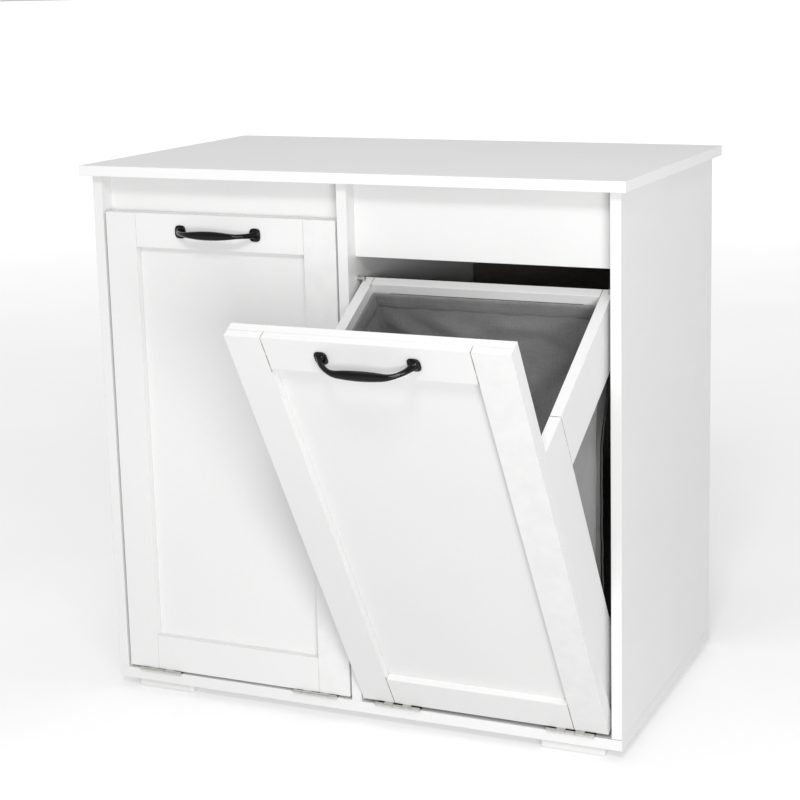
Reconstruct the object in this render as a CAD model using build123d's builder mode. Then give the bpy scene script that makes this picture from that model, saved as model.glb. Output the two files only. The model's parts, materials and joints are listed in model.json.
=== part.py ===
from build123d import *
import os
from math import radians, cos, sin

os.makedirs("parts", exist_ok=True)

# Double tilt-out cabinet for two bags.
# Millimetres, +Z up, the fronts face -Y, the feet stand on Z = 0.
# X = 0 is the middle of the centre divider.

# ---- driving dimensions -------------------------------------------------
BODY_W = 850.0          # outside width over the side panels
BODY_D = 480.0          # depth of the side panels
BOARD = 16.0            # side panels, divider, fascias, frame boards
BOTTOM_T = 18.0         # bottom panel
TOP_T = 16.0            # tabletop
FOOT_H = 15.0           # block feet
TOP_UNDER = 830.0       # underside of the tabletop above the floor
OVER_SIDE, OVER_FRONT, OVER_BACK = 12.0, 18.0, 15.0

BOTTOM_TOP = FOOT_H + BOTTOM_T          # 33
INNER_X = BODY_W / 2 - BOARD            # 409, inner face of a side panel
DIV_X = BOARD / 2                       # 8, faces of the divider
BAY_C = (INNER_X + DIV_X) / 2           # 208.5, middle of a bay
BACK_T = 4.0
REBATE = 8.0

FASCIA_Y = 26.5         # front face of the fascia behind the carcass front
FASCIA_Z = 718.0        # its lower edge

# door and its applied frame
DOOR_W = 393.5
DOOR_Z0, DOOR_Z1 = 37.0, 774.0
DOOR_Y = 1.0            # face of the applied frame
FRAME_T = 12.0          # stiles and rails
PANEL_T = 13.0          # full panel behind them
STILE_W = 53.0
RAIL_TOP_W, RAIL_BOT_W = 53.0, 56.0
PANEL_Y = DOOR_Y + FRAME_T              # 13
DOOR_BACK = PANEL_Y + PANEL_T           # 26

# bag frame behind the door
POST_HALF = 193.0       # outer faces of posts and side rails from the bay middle
POST_D = 75.0
POST_Z0 = 60.0
RAIL_TOP = 577.0        # top of the bag frame
RAIL_H = 89.0
FRAME_BACK = 360.0      # rear face of the rear rail
INNER_HALF = POST_HALF - BOARD          # 177

# hinges: butt hinges folded between the bottom panel and the door's lower edge
AXIS_Y, AXIS_Z = -3.5, 35.0
KNUCKLE_R = 3.0
PIN_R = 1.25
BORE_CLEAR = 0.05
LEAF_T = 1.2
HINGE_W = 74.0
HINGE_INSET = 25.0      # from the bay's side to the hinge
LEAF_BACK = 22.0        # rear edge of the leaves
LEAF_FRONT = 3.4        # front edge of the leaves; only the knuckle tabs reach the pin
KNUCKLES = 5
KNUCKLE_GAP = 0.5

TILT = 30.0             # degrees the right unit stands open

# pull handle
HOLE_SPACING = 128.0
HANDLE_Z = DOOR_Z1 - RAIL_TOP_W / 2     # 747.5, middle of the top rail
GRIP_OUT = 28.6         # grip axis in front of the door face
GRIP_HALF = 38.0        # half length of the swelled grip
GRIP_R0, GRIP_R1 = 4.2, 5.9

# bags
BAG_TOP = 562.0
BAG_WALL = 2.0
TAPE_T = 1.5
TAPE_H = 20.0

# stop pins
STOP_Y = 31.0           # behind the carcass front, clear of the closed door
STOP_R = 4.0

# the origin lies under the middle of the cabinet as it stands with one unit open:
# the frontmost point is the open unit's grip, the rearmost the tabletop's back edge
_t = radians(TILT)
GRIP_FRONT = (AXIS_Y + (DOOR_Y - GRIP_OUT - AXIS_Y) * cos(_t) - (HANDLE_Z - AXIS_Z) * sin(_t)) - GRIP_R1
FRONT_Y = -((BODY_D + OVER_BACK) + GRIP_FRONT) / 2      # Y of the carcass front edge

# ---- frames of reference ------------------------------------------------
carcass = Plane(origin=(0, FRONT_Y, 0))             # Y measured from the front edge


def unit_plane(centre_x, degrees):
    """Plane whose X, Y, Z are measured as on the closed unit, turned about the hinge axis."""
    pivot = Location((centre_x, FRONT_Y + AXIS_Y, AXIS_Z))
    return Plane(pivot * Location((0, 0, 0), (degrees, 0, 0)) * Location((0, -AXIS_Y, -AXIS_Z)))


def on(base, plane):
    """A sketch plane stated in the coordinates of base."""
    return Plane(base.location * plane.location)


def line_of(base, point, direction):
    """An axis stated in the coordinates of base."""
    start = (base.location * Location(point)).position
    return Axis(start, (base.location * Location(direction)).position - base.location.position)


def along_y(x, y, z):
    """A place whose own Z runs along +Y."""
    return Location((x, y, z), (-90, 0, 0))


def along_x(x, y, z):
    """A place whose own Z runs along +X."""
    return Location((x, y, z), (0, 90, 0))


def span(x0, x1, y0, y1, z0, z1, mode=Mode.ADD):
    """A board between two corners."""
    with Locations(((x0 + x1) / 2, (y0 + y1) / 2, (z0 + z1) / 2)):
        Box(x1 - x0, y1 - y0, z1 - z0, mode=mode)


def save(part, label):
    part.label = label
    export_step(part, f"parts/{label}.step")


BAYS = (("left", -BAY_C, 0.0), ("right", BAY_C, TILT))

# hinge places in the carcass: start X of each 74 mm hinge
hinge_starts = []
for _, cx, _ in BAYS:
    lo, hi = cx - (INNER_X - DIV_X) / 2, cx + (INNER_X - DIV_X) / 2
    hinge_starts += [lo + HINGE_INSET, hi - HINGE_INSET - HINGE_W]

KN_L = (HINGE_W - KNUCKLE_GAP * (KNUCKLES - 1)) / KNUCKLES
KN_STEP = KN_L + KNUCKLE_GAP

# ---- fastener places shared by the boards -------------------------------
SCREW_R, SCREW_HEAD_R = 2.0, 3.9
SIDE_SCREW_Y = (60.0, 240.0, 420.0)
DOWEL_R, DOWEL_L = 4.0, 32.0
TOP_DOWEL_Y = (70.0, 240.0, 410.0)
DOWEL_TOP_IN = 10.0     # depth of a dowel in the tabletop
SIDE_MID = BODY_W / 2 - BOARD / 2       # 417, middle of a side panel
FASCIA_DOWEL_Z = (745.0, 803.0)
STRETCH_Y0, STRETCH_Z0 = 440.0, 762.0
STRETCH_DOWEL_Z = (780.0, 812.0)
BACK_Y0 = BODY_D - BACK_T               # 476
NAIL_R, NAIL_L = 0.9, 16.0

# stop pin height: the pin just touches the top edges of the open side rails
STOP_Z = AXIS_Z + ((RAIL_TOP - AXIS_Z + STOP_R + 0.05) + (STOP_Y - AXIS_Y) * sin(_t)) / cos(_t)

# ---- carcass boards -----------------------------------------------------
with BuildPart(carcass) as bottom_panel:
    span(-BODY_W / 2, BODY_W / 2, 0, BODY_D, FOOT_H, BOTTOM_TOP)
    span(-INNER_X - REBATE, INNER_X + REBATE, BACK_Y0, BODY_D, BOTTOM_TOP - 8, BOTTOM_TOP, Mode.SUBTRACT)
    with Locations([(x, y, FOOT_H) for x in (-SIDE_MID, 0, SIDE_MID) for y in SIDE_SCREW_Y]):
        Cylinder(SCREW_R, BOTTOM_T, align=(Align.CENTER, Align.CENTER, Align.MIN), mode=Mode.SUBTRACT)
        Cone(SCREW_HEAD_R, SCREW_R, 2.4, align=(Align.CENTER, Align.CENTER, Align.MIN), mode=Mode.SUBTRACT)
    # pilot holes for the fixed hinge leaves
    with Locations([(x0 + dx, 14, BOTTOM_TOP) for x0 in hinge_starts for dx in (12, HINGE_W / 2, HINGE_W - 12)]):
        Cylinder(1.5, 14, align=(Align.CENTER, Align.CENTER, Align.MAX), mode=Mode.SUBTRACT)
    # screw holes of the feet
    with Locations([(sx * 346, y, FOOT_H) for sx in (-1, 1) for y in (38, BODY_D - 38)]):
        Cylinder(SCREW_R, 11, align=(Align.CENTER, Align.CENTER, Align.MIN), mode=Mode.SUBTRACT)
    fillet(bottom_panel.edges().filter_by(Axis.X).filter_by(lambda e: abs(e.length - BODY_W) < 0.01), 0.8)
save(bottom_panel.part, "bottom_panel")

for side, s in (("left", -1), ("right", 1)):
    with BuildPart(carcass) as side_panel:
        lo, hi = sorted((s * INNER_X, s * BODY_W / 2))
        span(lo, hi, 0, BODY_D, BOTTOM_TOP, TOP_UNDER)
        lo, hi = sorted((s * INNER_X, s * (INNER_X + REBATE)))
        span(lo, hi, BACK_Y0, BODY_D, BOTTOM_TOP, TOP_UNDER, Mode.SUBTRACT)
        with Locations([(s * SIDE_MID, y, BOTTOM_TOP) for y in SIDE_SCREW_Y]):
            Cylinder(SCREW_R, 32, align=(Align.CENTER, Align.CENTER, Align.MIN), mode=Mode.SUBTRACT)
        with Locations([(s * SIDE_MID, y, TOP_UNDER) for y in TOP_DOWEL_Y]):
            Cylinder(DOWEL_R, DOWEL_L - DOWEL_TOP_IN, align=(Align.CENTER, Align.CENTER, Align.MAX), mode=Mode.SUBTRACT)
        # blind holes: stop pin, fascia dowels, stretcher dowels
        with Locations(along_x(s * (INNER_X + 6), STOP_Y, STOP_Z)):
            Cylinder(3.0, 12, mode=Mode.SUBTRACT)
        with Locations([along_x(s * INNER_X, FASCIA_Y + BOARD / 2, z) for z in FASCIA_DOWEL_Z]
                       + [along_x(s * INNER_X, STRETCH_Y0 + BOARD / 2, z) for z in STRETCH_DOWEL_Z]):
            Cylinder(DOWEL_R, 2 * 11, mode=Mode.SUBTRACT)
        # nail holes of the back panel
        with Locations([along_y(s * (INNER_X + 4), BACK_Y0, z) for z in (60, 250, 440, 630, 800)]):
            Cylinder(NAIL_R, 2 * (NAIL_L - BACK_T), mode=Mode.SUBTRACT)
    save(side_panel.part, f"side_panel_{side}")

with BuildPart(carcass) as center_divider:
    span(-DIV_X, DIV_X, 0, BACK_Y0, BOTTOM_TOP, TOP_UNDER)
    with Locations([(0, y, BOTTOM_TOP) for y in SIDE_SCREW_Y]):
        Cylinder(SCREW_R, 32, align=(Align.CENTER, Align.CENTER, Align.MIN), mode=Mode.SUBTRACT)
    with Locations([(0, y, TOP_UNDER) for y in TOP_DOWEL_Y]):
        Cylinder(DOWEL_R, DOWEL_L - DOWEL_TOP_IN, align=(Align.CENTER, Align.CENTER, Align.MAX), mode=Mode.SUBTRACT)
    # the two stop pins enter from both faces, 7 mm each
    with Locations(along_x(-DIV_X + 3.5, STOP_Y, STOP_Z), along_x(DIV_X - 3.5, STOP_Y, STOP_Z)):
        Cylinder(3.0, 7, mode=Mode.SUBTRACT)
    # fascia and stretcher dowels pass right through the divider
    with Locations([along_x(0, FASCIA_Y + BOARD / 2, z) for z in FASCIA_DOWEL_Z]
                   + [along_x(0, STRETCH_Y0 + BOARD / 2, z) for z in STRETCH_DOWEL_Z]):
        Cylinder(DOWEL_R, BOARD, mode=Mode.SUBTRACT)
    with Locations([along_y(0, BACK_Y0, z) for z in (60, 250, 440, 630, 800)]):
        Cylinder(NAIL_R, 2 * (NAIL_L - BACK_T), mode=Mode.SUBTRACT)
save(center_divider.part, "center_divider")

with BuildPart(carcass) as tabletop:
    span(-BODY_W / 2 - OVER_SIDE, BODY_W / 2 + OVER_SIDE, -OVER_FRONT, BODY_D + OVER_BACK, TOP_UNDER, TOP_UNDER + TOP_T)
    fillet(tabletop.edges().filter_by(Axis.Z), 2.0)
    fillet(tabletop.edges().group_by(Axis.Z)[-1] + tabletop.edges().group_by(Axis.Z)[0], 1.0)
    with Locations([(x, y, TOP_UNDER) for x in (-SIDE_MID, 0, SIDE_MID) for y in TOP_DOWEL_Y]):
        Cylinder(DOWEL_R, DOWEL_TOP_IN, align=(Align.CENTER, Align.CENTER, Align.MIN), mode=Mode.SUBTRACT)
save(tabletop.part, "tabletop")

with BuildPart(carcass) as back_panel:
    span(-INNER_X - REBATE + 0.5, INNER_X + REBATE - 0.5, BACK_Y0, BODY_D, BOTTOM_TOP - 7.5, TOP_UNDER - 0.5)
    with Locations([along_y(x, BODY_D - BACK_T / 2, z) for x in (-INNER_X - 4, 0, INNER_X + 4) for z in (60, 250, 440, 630, 800)]):
        Cylinder(NAIL_R, BACK_T, mode=Mode.SUBTRACT)
save(back_panel.part, "back_panel")

for side, cx, _ in BAYS:
    lo, hi = cx - (INNER_X - DIV_X) / 2, cx + (INNER_X - DIV_X) / 2
    with BuildPart(carcass) as fascia:
        span(lo, hi, FASCIA_Y, FASCIA_Y + BOARD, FASCIA_Z, TOP_UNDER)
        with Locations([along_x(x, FASCIA_Y + BOARD / 2, z) for x in (lo, hi) for z in FASCIA_DOWEL_Z]):
            Cylinder(DOWEL_R, 2 * 21, mode=Mode.SUBTRACT)
        chamfer(fascia.edges().filter_by(Axis.X).group_by(Axis.Z)[0], 0.6)
    save(fascia.part, f"fascia_{side}")
    with BuildPart(carcass) as stretcher:
        span(lo, hi, STRETCH_Y0, STRETCH_Y0 + BOARD, STRETCH_Z0, TOP_UNDER)
        with Locations([along_x(x, STRETCH_Y0 + BOARD / 2, z) for x in (lo, hi) for z in STRETCH_DOWEL_Z]):
            Cylinder(DOWEL_R, 2 * 21, mode=Mode.SUBTRACT)
    save(stretcher.part, f"rear_stretcher_{side}")

# block feet with rounded lower edges, screwed up into the bottom panel
FOOT_X, FOOT_Y = 100.0, 60.0
for name, sx, y in (("front_left", -1, 38.0), ("front_right", 1, 38.0),
                    ("rear_left", -1, BODY_D - 38.0), ("rear_right", 1, BODY_D - 38.0)):
    with BuildPart(carcass) as foot:
        with Locations((sx * 346, y, 0)):
            Box(FOOT_X, FOOT_Y, FOOT_H, align=(Align.CENTER, Align.CENTER, Align.MIN))
        fillet(foot.edges().filter_by(Axis.Z), 4.0)
        fillet(foot.edges().group_by(Axis.Z)[0], 2.0)
        with Locations((sx * 346, y, 0)):
            Cylinder(SCREW_R, FOOT_H, align=(Align.CENTER, Align.CENTER, Align.MIN), mode=Mode.SUBTRACT)
            Cylinder(4.6, 5.0, align=(Align.CENTER, Align.CENTER, Align.MIN), mode=Mode.SUBTRACT)
    save(foot.part, f"foot_{name}")

# ---- carcass fasteners --------------------------------------------------
with BuildPart(carcass) as carcass_screws:
    with Locations([(x, y, FOOT_H) for x in (-SIDE_MID, 0, SIDE_MID) for y in SIDE_SCREW_Y]):
        Cylinder(SCREW_R, 50, align=(Align.CENTER, Align.CENTER, Align.MIN))
        Cone(SCREW_HEAD_R, SCREW_R, 2.4, align=(Align.CENTER, Align.CENTER, Align.MIN))
        Cylinder(1.3, 1.4, align=(Align.CENTER, Align.CENTER, Align.MIN), mode=Mode.SUBTRACT)
save(carcass_screws.part, "carcass_screws")

with BuildPart(carcass) as foot_screws:
    with Locations([(sx * 346, y, 5.0) for sx in (-1, 1) for y in (38.0, BODY_D - 38.0)]):
        Cylinder(SCREW_R, 20.5, align=(Align.CENTER, Align.CENTER, Align.MIN))
        Cylinder(4.0, 2.5, align=(Align.CENTER, Align.CENTER, Align.MAX))
    with Locations([(sx * 346, y, 2.5) for sx in (-1, 1) for y in (38.0, BODY_D - 38.0)]):
        Box(5.0, 1.0, 1.2, align=(Align.CENTER, Align.CENTER, Align.MIN), mode=Mode.SUBTRACT)
        Box(1.0, 5.0, 1.2, align=(Align.CENTER, Align.CENTER, Align.MIN), mode=Mode.SUBTRACT)
save(foot_screws.part, "foot_screws")

with BuildPart(carcass) as carcass_dowels:
    with Locations([(x, y, TOP_UNDER + DOWEL_TOP_IN) for x in (-SIDE_MID, 0, SIDE_MID) for y in TOP_DOWEL_Y]):
        Cylinder(DOWEL_R, DOWEL_L, align=(Align.CENTER, Align.CENTER, Align.MAX))
    with Locations([along_x(s * (INNER_X - 5), yy, z) for s in (-1, 1)
                    for yy, zs in ((FASCIA_Y + BOARD / 2, FASCIA_DOWEL_Z), (STRETCH_Y0 + BOARD / 2, STRETCH_DOWEL_Z)) for z in zs]):
        Cylinder(DOWEL_R, DOWEL_L)
    with Locations([along_x(0, yy, z)
                    for yy, zs in ((FASCIA_Y + BOARD / 2, FASCIA_DOWEL_Z), (STRETCH_Y0 + BOARD / 2, STRETCH_DOWEL_Z)) for z in zs]):
        Cylinder(DOWEL_R, 2 * 21 + BOARD)
save(carcass_dowels.part, "carcass_dowels")

with BuildPart(carcass) as back_nails:
    with Locations([along_y(x, BODY_D, z) for x in (-INNER_X - 4, 0, INNER_X + 4) for z in (60, 250, 440, 630, 800)]):
        Cylinder(NAIL_R, NAIL_L, align=(Align.CENTER, Align.CENTER, Align.MAX))
        Cylinder(2.2, 0.6, align=(Align.CENTER, Align.CENTER, Align.MIN))
save(back_nails.part, "back_nails")

# stop pins: a shaft in the board, a collar against it, a head with a hex socket
with BuildPart(carcass) as stop_pins:
    for x, s, depth in ((-INNER_X, 1, 12), (-DIV_X, -1, 7), (DIV_X, 1, 7), (INNER_X, -1, 12)):
        with Locations(along_x(x + s * (12 - depth) / 2, STOP_Y, STOP_Z)):
            Cylinder(3.0, 12 + depth)
        with Locations(along_x(x + s * 1.0, STOP_Y, STOP_Z), along_x(x + s * 9.5, STOP_Y, STOP_Z)):
            Cylinder(STOP_R, 2.0)
        with Locations(along_x(x + s * 11.0, STOP_Y, STOP_Z)):
            Cylinder(STOP_R, 2.0)
        with Locations(along_x(x + s * 12.0, STOP_Y, STOP_Z)):
            Cylinder(1.6, 5.0, mode=Mode.SUBTRACT)
save(stop_pins.part, "stop_pins")


def leaf(x0, low, fixed):
    """One leaf of a butt hinge: plate, its own knuckles and three countersunk holes.

    low is the Z of the plate's underside; fixed leaves carry knuckles 1, 3, 5."""
    mine = [i for i in range(KNUCKLES) if (i % 2 == 0) == fixed]
    span(x0, x0 + HINGE_W, LEAF_FRONT, LEAF_BACK, low, low + LEAF_T)
    for i in mine:
        a = x0 + i * KN_STEP
        span(a, a + KN_L, AXIS_Y, LEAF_FRONT + 0.1, low, low + LEAF_T)
        with Locations(along_x(a + KN_L / 2, AXIS_Y, AXIS_Z)):
            Cylinder(KNUCKLE_R, KN_L)
    for i in mine:
        a = x0 + i * KN_STEP
        with Locations(along_x(a + KN_L / 2, AXIS_Y, AXIS_Z)):
            Cylinder(PIN_R + (0.0 if fixed else BORE_CLEAR), KN_L, mode=Mode.SUBTRACT)


with BuildPart(carcass) as fixed_leaves:
    for x0 in hinge_starts:
        leaf(x0, BOTTOM_TOP, True)
        with Locations([(x0 + dx, 14, BOTTOM_TOP) for dx in (12, HINGE_W / 2, HINGE_W - 12)]):
            Cylinder(1.5, LEAF_T, align=(Align.CENTER, Align.CENTER, Align.MIN), mode=Mode.SUBTRACT)
            Cone(1.8, 3.0, LEAF_T, align=(Align.CENTER, Align.CENTER, Align.MIN), mode=Mode.SUBTRACT)
save(fixed_leaves.part, "hinge_fixed_leaves")

with BuildPart(carcass) as fixed_leaf_screws:
    with Locations([(x0 + dx, 14, BOTTOM_TOP) for x0 in hinge_starts for dx in (12, HINGE_W / 2, HINGE_W - 12)]):
        Cylinder(1.5, 13.5, align=(Align.CENTER, Align.CENTER, Align.MAX))
        Cone(1.8, 2.95, LEAF_T, align=(Align.CENTER, Align.CENTER, Align.MIN))
save(fixed_leaf_screws.part, "hinge_fixed_screws")

with BuildPart(carcass) as hinge_pins:
    with Locations([along_x(x0 + HINGE_W / 2, AXIS_Y, AXIS_Z) for x0 in hinge_starts]):
        Cylinder(PIN_R, HINGE_W)
    with Locations([along_x(x0 + dx, AXIS_Y, AXIS_Z) for x0 in hinge_starts for dx in (-0.4, HINGE_W + 0.4)]):
        Cylinder(2.0, 0.8)
save(hinge_pins.part, "hinge_pins")

# ---- tilt-out units -----------------------------------------------------
# outer profile of each bag seen from its side, Y from the carcass front and Z:
# the closed unit's bag hangs straight, the open one's settles towards the door
BAG_STRAIGHT = [(45.0, 562), (45.0, 480), (40, 440), (38, 104), (52, 84), (190, 74), (326, 84), (339.0, 104), (340.4, 562)]
BAG_LEANING = [(45.0, 562), (45.0, 480), (32, 440), (29, 124), (42, 88), (92, 72), (150, 84), (192, 130),
               (234, 210), (287, 310), (324, 390), (340.4, 450), (340.4, 562)]

POST_SCREW_Z = (120.0, 300.0, 470.0)
RAIL_DOWEL_Z = (RAIL_TOP - 67.0, RAIL_TOP - 22.0)

for side, cx, degrees in BAYS:
    u = unit_plane(cx, degrees)
    half = DOOR_W / 2
    starts = (-half + 21.25, half - 21.25 - HINGE_W)        # the two hinges, matching the carcass
    # ---- door
    with BuildPart(u) as door_panel:
        span(-half, half, PANEL_Y, DOOR_BACK, DOOR_Z0, DOOR_Z1)
        with Locations([along_y(sx * HOLE_SPACING / 2, DOOR_BACK, HANDLE_Z) for sx in (-1, 1)]):
            Cylinder(2.1, 2 * PANEL_T, mode=Mode.SUBTRACT)
            Cylinder(4.6, 2 * 3.2, mode=Mode.SUBTRACT)
        with Locations([along_y(sx * (POST_HALF - BOARD / 2), PANEL_Y, z) for sx in (-1, 1) for z in POST_SCREW_Z]):
            Cylinder(SCREW_R, PANEL_T, align=(Align.CENTER, Align.CENTER, Align.MIN), mode=Mode.SUBTRACT)
            Cone(SCREW_HEAD_R, SCREW_R, 2.4, align=(Align.CENTER, Align.CENTER, Align.MIN), mode=Mode.SUBTRACT)
        with Locations([(x0 + dx, 18.0, DOOR_Z0) for x0 in starts for dx in (12, HINGE_W / 2, HINGE_W - 12)]):
            Cylinder(1.5, 14, align=(Align.CENTER, Align.CENTER, Align.MIN), mode=Mode.SUBTRACT)
    save(door_panel.part, f"door_panel_{side}")

    for name, s in (("stile_left", -1), ("stile_right", 1)):
        with BuildPart(u) as stile:
            lo, hi = sorted((s * half, s * (half - STILE_W)))
            span(lo, hi, DOOR_Y, PANEL_Y, DOOR_Z0, DOOR_Z1)
        save(stile.part, f"door_{name}_{side}")
    with BuildPart(u) as rail_top:
        span(-half + STILE_W, half - STILE_W, DOOR_Y, PANEL_Y, DOOR_Z1 - RAIL_TOP_W, DOOR_Z1)
        with Locations([along_y(sx * HOLE_SPACING / 2, (DOOR_Y + PANEL_Y) / 2, HANDLE_Z) for sx in (-1, 1)]):
            Cylinder(2.1, FRAME_T, mode=Mode.SUBTRACT)
    save(rail_top.part, f"door_rail_top_{side}")
    with BuildPart(u) as rail_bottom:
        span(-half + STILE_W, half - STILE_W, DOOR_Y, PANEL_Y, DOOR_Z0, DOOR_Z0 + RAIL_BOT_W)
    save(rail_bottom.part, f"door_rail_bottom_{side}")

    # ---- pull: flared feet, slanting necks, swelled grip
    grip_y = DOOR_Y - GRIP_OUT

    def across(s, inward, out, degrees_in):
        """Section plane of a neck: its middle, and how far its normal leans to the grip."""
        t = radians(degrees_in)
        return on(u, Plane(origin=(s * (HOLE_SPACING / 2 - inward), DOOR_Y - out, HANDLE_Z),
                           x_dir=(0, 0, 1), z_dir=(-s * sin(t), -cos(t), 0)))

    with BuildPart(u) as handle:
        for s in (-1, 1):
            fx = s * HOLE_SPACING / 2
            with BuildSketch(on(u, Plane(origin=(fx, DOOR_Y, HANDLE_Z), x_dir=(1, 0, 0), z_dir=(0, -1, 0)))):
                RectangleRounded(18, 20, 6.5)
            extrude(amount=3.0)
            with BuildSketch(on(u, Plane(origin=(fx, DOOR_Y - 3.0, HANDLE_Z), x_dir=(1, 0, 0), z_dir=(0, -1, 0)))):
                RectangleRounded(17.6, 19.6, 6.5)
            with BuildSketch(across(s, 3.0, 9.0, 25)):
                Circle(4.4)
            loft()
            with BuildSketch(across(s, 3.0, 9.0, 25)):
                Circle(4.4)
            with BuildSketch(across(s, 11.0, 19.0, 46)):
                Circle(3.8)
            with BuildSketch(across(s, 19.0, 26.0, 70)):
                Circle(4.0)
            with BuildSketch(across(s, HOLE_SPACING / 2 - GRIP_HALF, GRIP_OUT, 90)):
                Circle(GRIP_R0)
            loft()
        with BuildSketch(on(u, Plane(origin=(0, grip_y, HANDLE_Z), x_dir=(1, 0, 0), z_dir=(0, 0, 1)))):
            with BuildLine():
                Line((-GRIP_HALF, 0), (-GRIP_HALF, GRIP_R0))
                ThreePointArc((-GRIP_HALF, GRIP_R0), (0, GRIP_R1), (GRIP_HALF, GRIP_R0))
                Line((GRIP_HALF, GRIP_R0), (GRIP_HALF, 0))
                Line((GRIP_HALF, 0), (-GRIP_HALF, 0))
            make_face()
        revolve(axis=line_of(u, (0, grip_y, HANDLE_Z), (1, 0, 0)), revolution_arc=360)
        # threaded holes for the two screws
        with Locations([along_y(sx * HOLE_SPACING / 2, DOOR_Y, HANDLE_Z) for sx in (-1, 1)]):
            Cylinder(2.0, 6.4, align=(Align.CENTER, Align.CENTER, Align.MAX), mode=Mode.SUBTRACT)
    save(handle.part, f"handle_{side}")

    with BuildPart(u) as handle_screws:
        with Locations([along_y(sx * HOLE_SPACING / 2, DOOR_BACK - 3.2, HANDLE_Z) for sx in (-1, 1)]):
            Cylinder(2.0, DOOR_BACK - 3.2 - DOOR_Y + 6.2, align=(Align.CENTER, Align.CENTER, Align.MAX))
            Cylinder(4.0, 2.6, align=(Align.CENTER, Align.CENTER, Align.MIN))
        with Locations([along_y(sx * HOLE_SPACING / 2, DOOR_BACK - 1.2, HANDLE_Z) for sx in (-1, 1)]):
            Box(5.0, 1.0, 1.6, mode=Mode.SUBTRACT)
            Box(1.0, 5.0, 1.6, mode=Mode.SUBTRACT)
    save(handle_screws.part, f"handle_screws_{side}")

    # ---- bag frame: two posts edge-on behind the door, side rails, rear and front rails
    for name, s in (("left", -1), ("right", 1)):
        lo, hi = sorted((s * POST_HALF, s * INNER_HALF))
        with BuildPart(u) as post:
            span(lo, hi, DOOR_BACK, DOOR_BACK + POST_D, POST_Z0, RAIL_TOP)
            with Locations([along_y(s * (POST_HALF - BOARD / 2), DOOR_BACK, z) for z in POST_SCREW_Z]):
                Cylinder(SCREW_R, 2 * 37, mode=Mode.SUBTRACT)
            with Locations([along_y(s * (POST_HALF - BOARD / 2), DOOR_BACK + POST_D, z) for z in RAIL_DOWEL_Z]):
                Cylinder(DOWEL_R, DOWEL_L, mode=Mode.SUBTRACT)
            with Locations([along_x(s * INNER_HALF, DOOR_BACK + BOARD / 2, z - 9) for z in RAIL_DOWEL_Z]):
                Cylinder(DOWEL_R, 2 * 11, mode=Mode.SUBTRACT)
        save(post.part, f"bag_post_{name}_{side}")
        with BuildPart(u) as side_rail:
            span(lo, hi, DOOR_BACK + POST_D, FRAME_BACK, RAIL_TOP - RAIL_H, RAIL_TOP)
            with Locations([along_y(s * (POST_HALF - BOARD / 2), DOOR_BACK + POST_D, z) for z in RAIL_DOWEL_Z]):
                Cylinder(DOWEL_R, DOWEL_L, mode=Mode.SUBTRACT)
            with Locations([along_x(s * INNER_HALF, FRAME_BACK - BOARD / 2, z) for z in RAIL_DOWEL_Z]):
                Cylinder(DOWEL_R, 2 * 11, mode=Mode.SUBTRACT)
        save(side_rail.part, f"bag_side_rail_{name}_{side}")
    with BuildPart(u) as rear_rail:
        span(-INNER_HALF, INNER_HALF, FRAME_BACK - BOARD, FRAME_BACK, RAIL_TOP - RAIL_H, RAIL_TOP)
        with Locations([along_x(sx * INNER_HALF, FRAME_BACK - BOARD / 2, z) for sx in (-1, 1) for z in RAIL_DOWEL_Z]):
            Cylinder(DOWEL_R, 2 * 21, mode=Mode.SUBTRACT)
    save(rear_rail.part, f"bag_rear_rail_{side}")
    with BuildPart(u) as front_rail:
        span(-INNER_HALF, INNER_HALF, DOOR_BACK, DOOR_BACK + BOARD, RAIL_TOP - RAIL_H, RAIL_TOP)
        with Locations([along_x(sx * INNER_HALF, DOOR_BACK + BOARD / 2, z - 9) for sx in (-1, 1) for z in RAIL_DOWEL_Z]):
            Cylinder(DOWEL_R, 2 * 21, mode=Mode.SUBTRACT)
    save(front_rail.part, f"bag_front_rail_{side}")

    with BuildPart(u) as frame_dowels:
        with Locations([along_y(s * (POST_HALF - BOARD / 2), DOOR_BACK + POST_D, z) for s in (-1, 1) for z in RAIL_DOWEL_Z]):
            Cylinder(DOWEL_R, DOWEL_L)
        with Locations([along_x(s * (INNER_HALF - 5), yy, z + dz) for s in (-1, 1)
                        for yy, dz in ((FRAME_BACK - BOARD / 2, 0), (DOOR_BACK + BOARD / 2, -9)) for z in RAIL_DOWEL_Z]):
            Cylinder(DOWEL_R, DOWEL_L)
    save(frame_dowels.part, f"frame_dowels_{side}")

    with BuildPart(u) as post_screws:
        with Locations([along_y(sx * (POST_HALF - BOARD / 2), PANEL_Y, z) for sx in (-1, 1) for z in POST_SCREW_Z]):
            Cylinder(SCREW_R, 50, align=(Align.CENTER, Align.CENTER, Align.MIN))
            Cone(SCREW_HEAD_R, SCREW_R, 2.4, align=(Align.CENTER, Align.CENTER, Align.MIN))
            Cylinder(1.2, 1.4, align=(Align.CENTER, Align.CENTER, Align.MIN), mode=Mode.SUBTRACT)
    save(post_screws.part, f"post_screws_{side}")

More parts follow.
